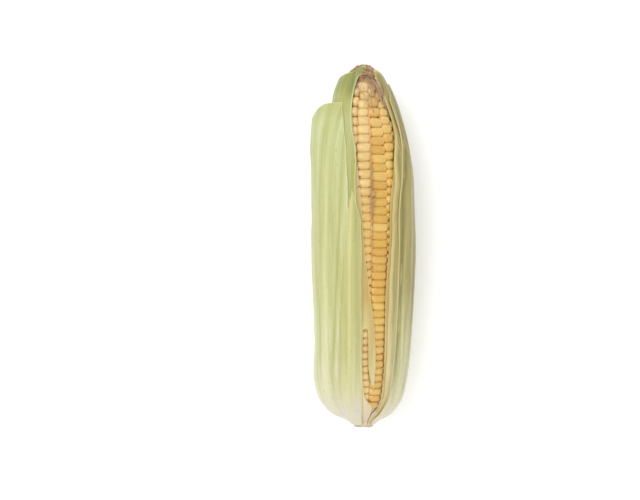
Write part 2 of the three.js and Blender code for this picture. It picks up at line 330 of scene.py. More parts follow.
def husk_material(name, seed, colours, margin_colour, shade):
    """A fresh husk leaf. colours are (share, colour) along the leaf, shade is the
    colour of its darker streaks and of the painted shade along its folds, and margin_colour that of its dry
    margin."""
    material, tree, shader = new_material(name)
    across, along, margin, tone = attributes_of(tree, "across", "along", "margin", "tone")

    def veins(width, length, offset, detail=2.0):
        return streaks(tree, across, along, width, length, seed + offset, detail)

    share = math_node(tree, "MULTIPLY", along, 1 / LENGTH)
    wander = veins(9, 30, 0.5)
    shifted = math_node(tree, "MULTIPLY_ADD", wander, 0.12, math_node(tree, "ADD", share, -0.06))
    colour = ramp(tree, shifted, colours)
    broad, middle, fine = veins(4.5, 90, 0), veins(1.5, 60, 1.5), veins(0.5, 40, 2.5)
    # The tone attribute holds the leaf's own tone plus painted light and painted shade along its folds: below
    # 0 it mixes in the darker colour, above 0 the paler one.
    darker = math_node(tree, "MULTIPLY", tone, -1.0)
    share_ramp = ramp(tree, share, [(0.03, 0.0), (0.2, 1.0)])  # the base is too pale for streaks
    for pattern, stops in (
        (broad, [(0.4, 0.0), (0.68, 0.65)]),
        (middle, [(0.46, 0.0), (0.72, 0.5)]),
        (darker, [(0.0, 0.0), (1.0, 1.0)]),
    ):
        amount = math_node(tree, "MULTIPLY", ramp(tree, pattern, stops), share_ramp)
        colour = mix_colour(tree, amount, colour, shade)
    pale = tuple(min(1.0, channel * 1.22 + 0.03) for channel in colours[len(colours) // 2][1])
    colour = overlay(tree, colour, fine, [(0.52, 0.0), (0.78, 0.4)], pale)
    colour = overlay(tree, colour, tone, [(0.0, 0.0), (1.0, 0.9)], pale)
    colour = overlay(tree, colour, grain(tree, 55.0, 3.0), [(0.3, 0.18), (0.6, 0.0)], shade)
    specks = veins(1.1, 2.6, 6, 0.0)
    colour = overlay(tree, colour, specks, [(0.8, 0.0), (0.84, 0.35)], paint(120, 104, 62))
    ragged = math_node(tree, "MULTIPLY_ADD", veins(1.2, 9, 4), -0.9, margin)
    colour = overlay(tree, colour, ragged, [(0.0, 0.85), (0.75, 0.0)], margin_colour)
    tree.links.new(colour, shader.inputs["Base Color"])
    tree.links.new(math_node(tree, "MULTIPLY_ADD", middle, 0.25, 0.34), shader.inputs["Roughness"])
    height = math_node(tree, "MULTIPLY_ADD", middle, 0.6, math_node(tree, "MULTIPLY", fine, 0.4))
    add_bump(tree, shader, height, 0.6, 0.5 * MM)
    set_sockets(shader, Subsurface_Weight=0.12, Subsurface_Radius=(0.9, 1.0, 0.35),
                Subsurface_Scale=1.2 * MM, Sheen_Weight=0.05)
    return material


def kernel_material():
    """Golden and glossy on the crown, cream at the base, and painted lighter down the sides: painted light in
    the shaded grooves between kernels.
    """
    material, tree, shader = new_material("sweetcorn_kernel")
    depth, tint, pale = attributes_of(tree, "depth", "tint", "pale")
    cloud = grain(tree, 420.0, 3.0)
    # Painted light: the gold just below the crown is lighter than on the crown, to brighten the shaded grooves
    # between kernels. The cream towards the base is the kernel's own colour.
    side = ramp(tree, math_node(tree, "MULTIPLY_ADD", cloud, 0.1, depth), [
        (0.0, paint(216, 178, 82)), (0.09, paint(216, 174, 76)), (0.17, paint(240, 190, 94)),
        (0.3, paint(238, 186, 100)), (1.0, paint(232, 216, 176)),
    ])
    colour = overlay(tree, side, tint, [(0.45, 0.0), (1.0, 0.6)], paint(210, 158, 58))
    colour = overlay(tree, colour, tint, [(0.0, 0.5), (0.35, 0.0)], paint(238, 206, 122))
    # Pale film, young and tip kernels, and the painted light on the shaded kernels of the slit
    paleness_and_slit_light = math_node(tree, "MULTIPLY", pale, ramp(tree, cloud, [(0.3, 0.75), (0.7, 1.0)]))
    colour = mix_colour(tree, paleness_and_slit_light, colour, paint(236, 212, 158))
    tree.links.new(colour, shader.inputs["Base Color"])
    tree.links.new(math_node(tree, "MULTIPLY_ADD", cloud, 0.16, 0.2), shader.inputs["Roughness"])
    add_bump(tree, shader, grain(tree, 900.0, 2.0), 0.12, 0.3 * MM)
    set_sockets(shader, Subsurface_Weight=0.6, Subsurface_Radius=(1.0, 0.6, 0.2),
                Subsurface_Scale=2.8 * MM, Coat_Weight=0.3, Coat_Roughness=0.18)
    return material


def cob_material():
    """Pithy stem and cob, with papery chaff between the kernel rows. The cut face
    has the dots of the stem's fibres, and its rim has dried brown."""
    material, tree, shader = new_material("cob_and_chaff")
    across, along, chaff, cut = attributes_of(tree, "across", "along", "chaff", "cut")
    fibre = streaks(tree, across, along, 0.7, 12, 3)
    body = ramp(tree, fibre, [(0.3, paint(196, 178, 144)), (0.7, paint(228, 218, 196))])
    side = mix_colour(tree, chaff, body, paint(234, 172, 98))
    on_object = add(tree, "TexCoord").outputs["Object"]
    dots = add(tree, "TexVoronoi", Scale=1500.0)
    patches = add(tree, "TexNoise", Scale=420.0, Detail=4.0)
    for pattern in (dots, patches):
        tree.links.new(on_object, pattern.inputs["Vector"])
    face = ramp(tree, dots.outputs["Distance"], [(0.12, paint(168, 142, 98)), (0.34, paint(224, 212, 182))])
    face = overlay(tree, face, patches.outputs["Fac"], [(0.45, 0.0), (0.7, 0.5)], paint(186, 168, 120))
    face = overlay(tree, face, cut, [(0.74, 0.0), (0.86, 0.55), (0.97, 0.85)], paint(150, 122, 80))
    on_face = math_node(tree, "GREATER_THAN", cut, 0.001)
    tree.links.new(mix_colour(tree, on_face, side, face), shader.inputs["Base Color"])
    add_bump(tree, shader, mix_colour(tree, on_face, fibre, dots.outputs["Distance"]), 0.6, 0.6 * MM)
    set_sockets(shader, Roughness=0.7, Subsurface_Weight=0.15, Subsurface_Scale=1.0 * MM)
    return material


def silk_material():
    """Dry silk: straw, brown and dull mauve strands."""
    material, tree, shader = new_material("dry_silk")
    tint, along = attributes_of(tree, "tint", "along")
    colour = ramp(tree, tint, [
        (0.0, paint(112, 74, 40)), (0.22, paint(172, 130, 84)), (0.5, paint(204, 166, 122)),
        (0.8, paint(224, 188, 148)), (1.0, paint(202, 164, 140)),
    ])
    patch = streaks(tree, along, along, 3, 3, 8)
    colour = overlay(tree, colour, patch, [(0.45, 0.0), (0.7, 0.45)], paint(112, 76, 42))
    tree.links.new(colour, shader.inputs["Base Color"])
    set_sockets(shader, Roughness=0.55, Sheen_Weight=0.05)
    return material


# ---------------------------------------------------------------- husk leaves

ROWS_PER_EAR, LEAST_ROWS = 170, 20  # points along a leaf
SLIT_TOP = 0.272  # upper end of the slit in the left lining leaf
STRIP_END = 0.107  # free end of the torn strip beside it
RISE_WIDTH = 8  # an edge that stands off does so over this many millimetres
LONG_WAVE, SHORT_WAVE = 14, 4  # of a leaf's side edges, in millimetres
SHALLOW = 0.35  # what is left of a leaf's relief at its tip and its side edges
LAYER_AIR = 0.3  # room left above a leaf in its layer
EDGE_SUNK, MOST_SUNK = 0.15, 0.2  # how far its edge, and any place, may lie below its layer


def along_angle(angle):
    return [[0, angle], [1, angle]]


# A leaf has "lines" of [share, angle] from its left edge to its right one, and "ends",
# which are [place across, share]. Its "layer" counts outwards. Whatever it doesn't
# state is as here; lengths are in millimetres.
LEAF_DEFAULTS = {
    "columns": [90],  # points across, for each strip between two lines
    "wave": 0.5,  # how far the side edges wander
    "relief": 1.0,  # strength of folds, ribs and veins
    "soft": 6,  # width over which it swells from a side edge to its full body
    "body": 1,  # how much of its layer it fills
    "sheet": SHEET,
    "margin": 0.45,  # width of the dry margin
    "rise": (0, 0),  # how far the left and the right edge stand off
    "stand": along_angle(0),  # [share, distance] that its left side gapes
    "bands": [],  # lasting folds: middle line, half width in degrees, depth, tone (painted light above 0, painted shade below, along the fold)
    "tone": along_angle(0),  # [share, tone]: paler above 0, darker below
    "lowest": False,  # whether the ear lies on it
    "absent": None,  # which cells (share, strip) are missing
}


def leaf_grid(leaf):
    """Where every point of a leaf is, and how far it is from the leaf's edges."""
    lines = [smooth_line(line) for line in leaf["lines"]]
    start, ends = leaf["start"], smooth_line(leaf["ends"])
    strips = len(leaf["columns"])
    steps = [np.linspace(k, k + 1, count + 1)[:-1] for k, count in enumerate(leaf["columns"])]
    lane = np.concatenate(steps + [[strips]])
    rows = int(ROWS_PER_EAR * (max(share for _, share in leaf["ends"]) - start)) + LEAST_ROWS
    s, lane = np.meshgrid(np.linspace(0, 1, rows), lane, indexing="ij")
    u = lane / strips
    share = start + (ends(u) - start) * s
    y = share * LENGTH
    base = WRAP(y) + LEAF_SLACK - STEM_PINCH * (1 - smooth_step(y, 0, 4)) + leaf["layer"] * layer_step(y)
    to_degrees = np.degrees(1 / base)
    table = np.stack([line(share) for line in lines])
    for edge, seed in ((0, leaf["seed"]), (-1, leaf["seed"] + 2)):
        wander = noise(y / LONG_WAVE, 0 * y, seed) + 0.4 * noise(y / SHORT_WAVE, 0 * y, seed + 1)
        table[edge] += leaf["wave"] * wander * to_degrees
    strip = np.minimum(lane.astype(int), strips - 1)
    low = np.take_along_axis(table, strip[None], 0)[0]
    high = np.take_along_axis(table, strip[None] + 1, 0)[0]
    angle = low + (high - low) * (lane - strip)
    return {
        "u": u, "lane": lane, "share": share, "y": y, "base": base, "angle": angle,
        "to_left": (angle - table[0]) / to_degrees,
        "to_right": (table[-1] - angle) / to_degrees,
        "to_end": (ends(u) - share) * LENGTH,
    }


def bands(leaf, share, angle):
    """Lasting folds along a leaf: how far each place is sunk, and how much painted light (above 0) or painted
    shade (below 0) lies along the fold.
    """
    sunk, painted_fold_light = 0 * angle, 0 * angle
    for line, half_width, depth, tone in leaf["bands"]:
        near = np.exp(-((angle - smooth_line(line)(share)) / half_width) ** 2)
        sunk, painted_fold_light = sunk + depth * near, painted_fold_light + tone * near
    return sunk, painted_fold_light


def leaf_radius(leaf, grid, sunk):
    """How far the outside of a leaf is from the axis."""
    seed, share, y, base = leaf["seed"], grid["share"], grid["y"], grid["base"]
    to_left, to_right = grid["to_left"], grid["to_right"]
    arc = np.radians(grid["angle"]) * KERNEL_RADIUS
    inside = np.minimum(smooth_step(to_left, 0, leaf["soft"]), smooth_step(to_right, 0, leaf["soft"]))
    fade = smooth_step(share, 0.02, 0.12) * at_least(SHALLOW, smooth_step(1 - share, 0.02, 0.25))
    # Each has its height, then its size across and along the leaf
    folds = 0.45 * noise(arc / 11, y / 70, seed + 5)
    ribs = 0.3 * noise(arc / 3.6, y / 110, seed + 6)
    veins = 0.10 * (1 - 2 * np.abs(noise(arc / 1.7, y / 120, seed + 7)))
    crumple = 0.12 * noise(arc / 7, y / 9, seed + 8)
    relief = leaf["relief"] * fade * (folds + ribs + veins + crumple) - fade * sunk
    left_rise, right_rise = leaf["rise"]
    rise = left_rise * (1 - smooth_step(to_left, 0, RISE_WIDTH))
    rise = rise + right_rise * (1 - smooth_step(to_right, 0, RISE_WIDTH))
    rise = rise * smooth_step(share, 0.005, 0.05)  # all edges lie snug at the stem
    gape = smooth_line(leaf["stand"])(share) * (1 - grid["u"] * grid["u"])
    thickness = leaf["body"] * (layer_step(y) - LAYER_AIR)
    radius = base - EDGE_SUNK + inside * thickness + relief * at_least(SHALLOW, inside) + rise + gape
    return np.maximum(radius, base - MOST_SUNK + rise)


def husk_leaf(leaf, material):
    leaf = {**LEAF_DEFAULTS, **leaf}
    grid = leaf_grid(leaf)
    share, y, angle, lane = grid["share"], grid["y"], grid["angle"], grid["lane"]
    sunk, painted_fold_light = bands(leaf, share, angle)
    radius = leaf_radius(leaf, grid, sunk)
    if leaf["lowest"]:  # flattened by the surface it lies on
        down = np.maximum(-np.cos(np.radians(angle)), 0.05)
        radius = np.minimum(radius + LOWEST_LEAF_EXTRA * smooth_step(y, 2, 12), REST_DISTANCE / down)
    wanted = None
    if leaf["absent"]:
        middle = (share[:-1, :-1] + share[1:, 1:]) / 2
        strip = ((lane[:-1, :-1] + lane[1:, 1:]) / 2).astype(int)
        wanted = ~leaf["absent"](middle, strip)
    edge = np.minimum(np.minimum(grid["to_left"], grid["to_right"]), grid["to_end"])
    attributes = {
        "across": np.radians(angle) * KERNEL_RADIUS,
        "along": y,
        "margin": edge / leaf["margin"],
        # the leaf's own tone, plus painted light and painted shade along its folds
        "tone": smooth_line(leaf["tone"])(share) + painted_fold_light,
    }
    uv = np.stack([grid["u"].ravel(), share.ravel()], axis=1)
    faces = grid_faces(*share.shape, wanted)
    piece = make_piece(leaf["node"] + "_husk", place(radius, angle, y), faces, attributes, material, uv)
    crisp_rim(piece.data)
    solid = piece.modifiers.new("thickness", "SOLIDIFY")
    solid.thickness = leaf["sheet"] * MM
    solid.offset = -1
    stand_in(piece, leaf["slot"], leaf["node"])


# Colours of a leaf along its length
CREAM = paint(225, 217, 198)
GREEN_RUN = [
    (0.0, CREAM), (0.05, CREAM), (0.11, paint(220, 218, 182)), (0.35, paint(206, 208, 154)),
    (0.7, paint(200, 205, 146)), (0.83, paint(206, 213, 160)), (0.9, paint(178, 184, 116)),
    (0.95, paint(120, 132, 66)),
]
PALE_RUN = [
    (0.0, CREAM), (0.05, CREAM), (0.11, paint(216, 211, 164)), (0.35, paint(203, 199, 132)),
    (0.6, paint(190, 188, 118)), (1.0, paint(196, 198, 138)),
]
OLIVE_RUN = [
    (0.0, CREAM), (0.05, CREAM), (0.09, paint(221, 216, 180)), (0.22, paint(216, 214, 164)),
    (0.42, paint(188, 177, 108)), (0.8, paint(172, 158, 92)), (1.0, paint(166, 156, 92)),
]
LINING_RUN = [
    (0.0, paint(228, 208, 184)), (0.14, paint(228, 222, 166)), (0.24, paint(221, 212, 142)),
    (0.34, paint(190, 164, 92)), (0.55, paint(188, 162, 92)), (0.8, paint(206, 188, 126)),
    (0.9, paint(222, 220, 178)),
]

LINING = {"slot": "husk_lining", "layer": 0, "start": 0.006, "wave": 0.25, "relief": 0.4,
          "soft": 3, "body": 0.2, "sheet": LINING_SHEET}

# The tones of the leaves' bands are painted light and painted shade along their folds.
LEAVES = [
    {
        **LINING, "node": "lining_leaf_left", "seed": 11,
        "ends": [[0, 0.95], [0.7, 0.965], [1, 0.93]], "columns": [60, 12, 10],
        "lines": [
            along_angle(-178),
            [[0, 20], [0.04, 20], [0.06, 17], [0.075, 6], [0.09, 0.5], [0.17, -2.6], [0.23, -2.4],
             [SLIT_TOP, -1.2], [0.3, -1], [0.5, -12], [0.8, -34], [1, -50]],
            [[0, 21], [0.06, 18], [STRIP_END, 16.6], [0.13, 11], [0.17, 6.8], [0.23, 6],
             [SLIT_TOP, 5.4], [0.3, 5], [0.5, -5], [0.8, -24], [1, -40]],
            [[0, 22], [0.06, 19], [STRIP_END, 17], [0.17, 18.8], [0.28, 14.4], [0.38, 7.2],
             [0.49, 0.6], [0.6, -3.2], [0.71, -8.7], [0.82, -18.3], [0.92, -27], [1, -30]],
        ],
        "absent": lambda share, strip: (
            ((strip == 1) & (share < SLIT_TOP)) | ((strip == 2) & (share < STRIP_END))),
    },
    {
        **LINING, "node": "lining_leaf_right", "seed": 23,
        "ends": [[0, 0.93], [0.4, 0.94], [1, 0.92]],
        "lines": [
            [[0, 20], [0.035, 23], [0.055, 33], [0.1, 34], [0.16, 33], [0.24, 32], [0.35, 31],
             [0.43, 32.5], [0.5, 35.5], [0.6, 37], [0.71, 46], [0.83, 60], [1, 62]],
            along_angle(179),
        ],
    },
    {
        "node": "inner_leaf_left", "slot": "husk_green", "layer": 1, "seed": 31, "start": 0.007,
        "ends": [[0, 0.965], [0.3, 0.972], [0.55, 0.976], [0.75, 0.994], [0.95, 0.994], [1, 0.97]],
        "rise": (0, -0.9), "margin": 0.6,
        "stand": [[0.84, 0], [0.89, 1.2], [0.93, 3.0], [0.955, 3.0], [0.98, 1.0], [1, 0]],
        "tone": [[0, -0.3], [0.5, -0.4], [0.7, -0.55], [0.86, -0.5], [0.92, -0.2], [1, -0.1]],
        "lines": [
            [[0, -112], [0.78, -112], [0.86, -92], [0.9, -78], [0.93, -72], [0.96, -76], [1, -84]],
            [[0, -12], [0.3, -10], [0.55, -9], [0.67, -10.3], [0.76, -12.6], [0.87, -22.9],
             [0.93, -24], [0.96, -20], [0.985, 10], [1, 16]],
        ],
    },
    {
        "node": "inner_leaf_right", "slot": "husk_olive", "layer": 1, "seed": 41, "start": 0.007,
        "ends": [[0, 0.955], [0.3, 0.985], [1, 0.93]], "rise": (-0.9, 0), "margin": 1.9,
        "bands": [(along_angle(43), 2.5, 0.2, -0.3)],
        "tone": [[0, 0.1], [0.25, 0.1], [0.4, -0.15], [1, -0.2]],
        "lines": [
            [[0, 28], [0.07, 39], [0.13, 37.5], [0.24, 35.5], [0.38, 35.5], [0.46, 37.5], [0.52, 39.5],
             [0.6, 40.5], [0.71, 46], [0.83, 57], [0.93, 43.8], [1, 26]],
            [[0, 138], [0.72, 138], [0.88, 128], [1, 106]],
        ],
    },
    {
        "node": "inner_leaf_under", "slot": "husk_pale", "layer": 1, "seed": 53, "start": 0.007,
        "ends": [[0, 0.93], [0.5, 0.975], [1, 0.93]], "wave": 0.4,
        "lines": [along_angle(128), along_angle(256)],
    },
    {
        "node": "outer_leaf_under", "slot": "husk_pale", "layer": 2, "seed": 61, "start": 0.009,
        "ends": [[0, 0.86], [0.5, 0.93], [1, 0.86]], "lowest": True, "relief": 0.8,
        "lines": [along_angle(143), along_angle(228)],
    },
    {
        "node": "outer_leaf_left", "slot": "husk_green", "layer": 2, "seed": 71, "start": 0.009,
        "ends": [[0, 0.84], [0.4, 0.846], [0.5, 0.856], [0.62, 0.876], [0.8, 0.889], [1, 0.892]],
        "wave": 0.4, "rise": (0.7, 0),
        "bands": [
            ([[0, -52], [0.3, -36], [0.5, -30], [0.66, -27], [1, -30]], 2.6, 0.35, -0.7),
            ([[0, -75], [0.4, -60], [1, -55]], 3.5, -0.2, -0.35),
            ([[0, -60], [0.4, -47], [1, -44]], 3.5, 0.15, 0.3),
        ],
        "stand": [[0.01, 0], [0.05, 3.5], [0.1, 4.2], [0.14, 3.9], [0.18, 2.6], [0.24, 0.8], [0.32, 0],
                  [0.58, 0], [0.66, 0.6], [0.72, 2], [0.76, 4], [0.8, 5.6], [0.85, 8.1], [0.892, 9.3]],
        "lines": [
            along_angle(-146),
            [[0, -44], [0.07, -40], [0.185, -29], [0.35, -22.5], [0.49, -19.5], [0.625, -19.3],
             [0.76, -24], [0.82, -29], [0.89, -42]],
        ],
    },
    {
        "node": "outer_leaf_lower_left", "slot": "husk_pale", "layer": 2, "seed": 83, "start": 0.009,
        "ends": [[0, 0.645], [0.5, 0.655], [1, 0.645]], "columns": [60], "wave": 0.35, "rise": (0.75, -2.6),
        "bands": [
            ([[0, -26], [0.3, -17], [0.65, -15]], 2.4, -0.2, 0.45),
            ([[0, -40], [0.2, -31], [0.45, -25], [1, -18]], 1.8, 0.25, -0.5),
            ([[0, -16], [0.3, -8.5], [0.65, -10]], 1.5, 0.2, -0.4),
        ],
        "lines": [
            [[0, -49], [0.07, -46], [0.185, -36], [0.35, -29.4], [0.49, -23.7], [0.6, -18.4], [0.655, -15.6]],
            [[0, -6], [0.13, -3.4], [0.27, -4.2], [0.39, -4], [0.49, -2.8], [0.56, -4], [0.6, -8.4],
             [0.655, -15]],
        ],
    },
    {
        "node": "outer_leaf_right", "slot": "husk_olive", "layer": 2, "seed": 97, "start": 0.009,
        "ends": [[0, 0.9], [0.35, 0.945], [1, 0.9]], "relief": 1.2, "rise": (-0.6, 0.7), "margin": 0.6,
        "tone": [[0, 0.15], [0.25, 0.15], [0.4, -0.2], [1, -0.25]],
        "bands": [
            ([[0, 40], [0.2, 49], [0.6, 51.5], [0.8, 69], [1, 75]], 2.6, 0.55, -0.75),
            ([[0, 50], [0.2, 60], [0.6, 62], [0.8, 78], [1, 90]], 3.5, -0.25, 0.0),
            ([[0, 60], [0.2, 72], [0.6, 76], [1, 100]], 3.0, 0.4, -0.5),
            # Painted shade: no fold here; the far right side, turned away from the key light, is painted
            # darker
            ([[0, 84], [0.2, 66], [0.6, 68], [1, 90]], 7.0, 0, -0.2),
        ],
        "lines": [
            [[0, 34], [0.07, 42], [0.13, 44], [0.24, 45], [0.46, 45.5], [0.58, 46], [0.7, 54], [0.8, 64],
             [0.93, 60]],
            [[0, 155], [0.68, 155], [0.8, 147], [0.93, 124]],
        ],
    },
]


# ---------------------------------------------------------------- kernels

LEFT_ROW = ROW_COUNT - 1  # the row left of the main one, which is row 0
ROW_PHASE = {0: 0.0, 1: 0.35, LEFT_ROW: 0.25}  # how far a row is out of step with the main one
VEILED_ROWS = (13, 14, LEFT_ROW)  # a film of chaff makes these pale towards the tip
CROWN = 2.6  # height of a kernel's rounded crown
MAIN_ROW_SHIFT = 0.8  # degrees by which the main row's kernels are off their middle
MAIN_ROW_HALF = 12.25  # half the angle that the main row's wide kernels take up
OTHER_ROW_HALF = (180 - MAIN_ROW_HALF) / (ROW_COUNT - 1)
OVERLAP_ACROSS, OVERLAP_ALONG = 1.15, 0.615  # half widths and lengths, against a close fit of 1 and 0.5
KERNEL_DEPTH = 9  # from a kernel's crown to its base, for its colour
ROOT_DEPTH = 0.5  # how far kernels are set into the cob


def row_place(index):
    """Middle and half the width of a kernel row, in degrees."""
    main = MAIN_ROW_ANGLE + MAIN_ROW_SHIFT
    if index == 0:
        return main, MAIN_ROW_HALF
    return main + MAIN_ROW_HALF + (2 * index - 1) * OTHER_ROW_HALF, OTHER_ROW_HALF


def kernel_template(steps=7):
    """A block from -1 to 1 each way: across, along and out from the axis."""
    line = np.linspace(-1, 1, steps + 1)
    points, faces, seen = [], [], {}

    def corner(p):
        key = tuple(np.round(p, 6))
        if key not in seen:
            seen[key] = len(points)
            points.append(p)
        return seen[key]

    for axis in range(3):
        for side in (-1, 1):
            for i in range(steps):
                for j in range(steps):
                    ring = []
                    for a, b in ((i, j), (i + 1, j), (i + 1, j + 1), (i, j + 1)):
                        p = np.zeros(3)
                        p[axis], p[(axis + 1) % 3], p[(axis + 2) % 3] = side, line[a], line[b]
                        ring.append(corner(p))
                    faces.append(ring if side > 0 else ring[::-1])
    return np.array(points), np.array(faces)


def rounded(points, corner, dome=2.0):
    """The block with rounded corners seen from outside, and a domed crown."""
    a, b, c = np.abs(points).T
    outline = (a ** corner + b ** corner) ** (1 / corner)
    reach = (outline ** dome + c ** dome) ** (1 / dome)
    return points / reach[:, None]


def kernel_edges():
    """Where each kernel of a row ends and the next one starts."""
    growth, run = TIP_PITCH - BASE_PITCH, KERNEL_END - KERNEL_START
    edges = [KERNEL_START]
    while True:
        pitch = BASE_PITCH + growth * (edges[-1] - KERNEL_START) / run
        if edges[-1] + pitch > KERNEL_END:
            return edges
        edges.append(edges[-1] + pitch)


def paleness(index, share, rng):
    """How far a kernel's gold is hidden: by its film of chaff, or because it is young, and in the slit of the
    left row by painted light on kernels that the lining shades.
    """
    def from_share(low, high):
        return float(smooth_step(share, low, high))

    film = 0.85 * (from_share(0.72, 0.78) if index in VEILED_ROWS else 0) * rng.uniform(0.6, 1)
    # Paler near the stem. In the left row this is also painted light, which brightens the kernels in the slit
    # that the lining shades.
    share_ramp = (0.55 if index == LEFT_ROW else 0.2) * (1 - from_share(0.24, 0.32))
    whole_row = 0.28 + 0.17 * from_share(0.6, 0.65) if index == LEFT_ROW else 0
    return max(film, share_ramp, whole_row, 0.3 * from_share(0.78, 0.86), 0.9 * from_share(0.87, 0.93))


def kernel(index, start, end, phase, template, rng):
    """Points of one kernel as across, along and radius, with their colouring, or None
    where the row has no room for it."""
    pitch = end - start
    tip = float(smooth_step(start / LENGTH, 0.8, 0.9))  # rows are less regular there
    stagger = phase * (1 - tip) + tip * (0.25 - 0.5 * (index % 2))
    y = (start + end) / 2 + stagger * pitch + tip * rng.normal(0, 0.15)
    if y > KERNEL_END - 2 * tip or y < KERNEL_START:
        return None
    share = y / LENGTH
    rounder = float(smooth_step(share, 0.5, 0.78))
    # Every other row gives way near the tip, and the kernels of the rest grow
    grown = float(smooth_step(share, 0.885, 0.925)) * (1 if index % 2 else -0.55)
    unevenness = np.clip(rng.normal(-0.05, 0.12), -0.35, 0.08)
    top = float(WRAP(y)) + unevenness - 0.4 * tip * rng.uniform(0, 1)
    top += 0.5 * min(grown, 0)
    shape = rounded(template, 3.3 - 0.55 * rounder - 0.45 * tip + rng.normal(0, 0.2))
    crown = CROWN + 0.5 * tip
    root = float(COB(y)) - ROOT_DEPTH
    radius = top - crown + shape[:, 2] * np.where(shape[:, 2] > 0, crown, top - crown - root)
    plump = OVERLAP_ACROSS + 0.05 * tip * rng.uniform(-0.5, 1) + 0.36 * grown
    width = radius * math.tan(math.radians(row_place(index)[1])) * plump
    across = shape[:, 0] * width * (1 + rng.normal(0, 0.02)) + rng.normal(0, 0.1 + 0.15 * tip)
    length = OVERLAP_ALONG * pitch * (1 + rng.normal(0, 0.03) + 0.04 * tip + 0.16 * grown)
    sag = 0.35 * shape[:, 0] ** 2  # the ends of a kernel curve towards the tip of the ear
    lean = 0.1 * (radius - root) * (0.4 + tip)  # and so does its crown
    skew = rng.normal(0, 0.025 + 0.08 * tip)
    along = y + shape[:, 1] * length + sag + lean - 0.4 + skew * across
    colouring = {
        "depth": (top - radius) / KERNEL_DEPTH,
        "tint": np.full(len(shape), rng.uniform(0, 1)),
        "pale": np.full(len(shape), paleness(index, share, rng)),
    }
    return np.stack([across, along, radius], axis=1), colouring


def kernel_row(index, template, faces, material):
    rng = np.random.default_rng(100 + index)
    edges = kernel_edges()
    phase = ROW_PHASE.get(index, rng.uniform(-0.3, 0.3))
    made = [kernel(index, start, end, phase, template, rng) for start, end in zip(edges, edges[1:])]
    points, colourings = zip(*(one for one in made if one))
    across, along, radius = np.concatenate(points).T
    turn = math.radians(row_place(index)[0])
    right = radius * math.sin(turn) + across * math.cos(turn)
    up = radius * math.cos(turn) - across * math.sin(turn)
    all_faces = np.concatenate([faces + k * len(template) for k in range(len(points))])
    values = {key: np.concatenate([one[key] for one in colourings]) for key in colourings[0]}
    node = f"kernel_row_{index + 1:02d}"
    name = node.replace("row", "row_grains")
    piece = make_piece(name, place_beside_axis(right, along, up), all_faces, values, material)
    stand_in(piece, "kernels", node)


# ---------------------------------------------------------------- stem and cob

COB_TURNS = 480  # points round the cob
CHAFF_HALF = 0.55  # half the thickness of the chaff between two rows
MAIN_SEAM_EXTRA = 0.6  # by which it is thicker and higher left of the main row
CHAFF_BELOW, SHANK_BELOW = 0.85, 0.7  # how far chaff and shank stay under the leaves


def cob_side():
    """Side of the stem and cob, with chaff standing between the rows."""
    ys = np.concatenate([
        np.linspace(0.35, STEM_STUB, 9), np.linspace(STEM_STUB + 0.5, KERNEL_START, 12)[:-1],
        np.linspace(KERNEL_START, KERNEL_END - 1, 150),
    ])
    y, angle = np.meshgrid(ys, np.linspace(0, 360, COB_TURNS, endpoint=False), indexing="ij")
    seams = np.array([sum(row_place(index)) for index in range(ROW_COUNT)])
    off_seam = np.abs((angle[..., None] - seams + 180) % 360 - 180).min(-1)
    main_seam = np.abs(angle - (MAIN_ROW_ANGLE + MAIN_ROW_SHIFT - MAIN_ROW_HALF)) < OTHER_ROW_HALF
    main_seam = main_seam * smooth_step(y / LENGTH, 0.42, 0.55)
    chaff = np.exp(-(np.radians(off_seam) * WRAP(y) / (CHAFF_HALF + MAIN_SEAM_EXTRA * main_seam)) ** 4)
    chaff *= smooth_step(y, KERNEL_START - 4, KERNEL_START + 3)
    chaff *= 1 - smooth_step(y, KERNEL_END - 16, KERNEL_END - 4)
    height = WRAP(y) - CHAFF_BELOW + MAIN_SEAM_EXTRA * main_seam - COB(y)
    height = height * (0.96 + 0.04 * noise(y / 2.2, angle / 9, 5))  # its edge is a little ragged
    radius = COB(y) - 0.3 - 0.4 * (1 - smooth_step(y, 1, 5)) + chaff * np.maximum(height, 0)
    # The shank swells out to the leaves, so that no gap is left under the lowest kernels
    shank = smooth_step(y, STEM_STUB, STEM_STUB + 4) - smooth_step(y, KERNEL_START - 1, KERNEL_START + 4)
    radius += 0.9 * shank * np.maximum(WRAP(y) - SHANK_BELOW - radius, 0)
    fibre = 0.12 * noise(angle / 5.625, y / 20, 6) + 0.06 * noise(angle / 2.8125, y / 20, 7)
    return y, angle, radius + fibre * (1 - chaff), chaff


def cut_face(rim_radius, angle):
    """The sawn end of the stem, in rings from its middle out to the rim."""
    shares = np.concatenate([np.linspace(0.02, 0.96, 34), [0.985, 1.0]])
    share, angle = np.meshgrid(shares, angle, indexing="ij")
    radius = share * rim_radius
    sawn = 0.12 * noise(radius * np.cos(np.radians(angle)) / 0.8 + 9, radius / 0.8, 12)
    y = 0.2 + sawn + 0.2 * smooth_step(share, 0.9, 1.0)
    cut = np.where(share < 1, share, 0)  # the rim is already side
    return y, angle, radius, cut


def stem_and_cob(material):
    side_y, side_angle, side_radius, side_chaff = cob_side()
    face_y, face_angle, face_radius, face_cut = cut_face(side_radius[0], side_angle[0])
    y, angle = np.concatenate([face_y, side_y]), np.concatenate([face_angle, side_angle])
    radius = np.concatenate([face_radius, side_radius])
    attributes = {
        "across": np.radians(angle) * COB_RADIUS,
        "along": y,
        "chaff": np.concatenate([0 * face_y, side_chaff]),
        "cut": np.concatenate([face_cut, 0 * side_y]),
    }
    points = place(radius, angle, np.maximum(y, 0))
    piece = make_piece("stem_cob_and_chaff", points, closed_rings(*y.shape), attributes, material)
    stand_in(piece, "cob", "stalk_and_cob")


# ---------------------------------------------------------------- silk

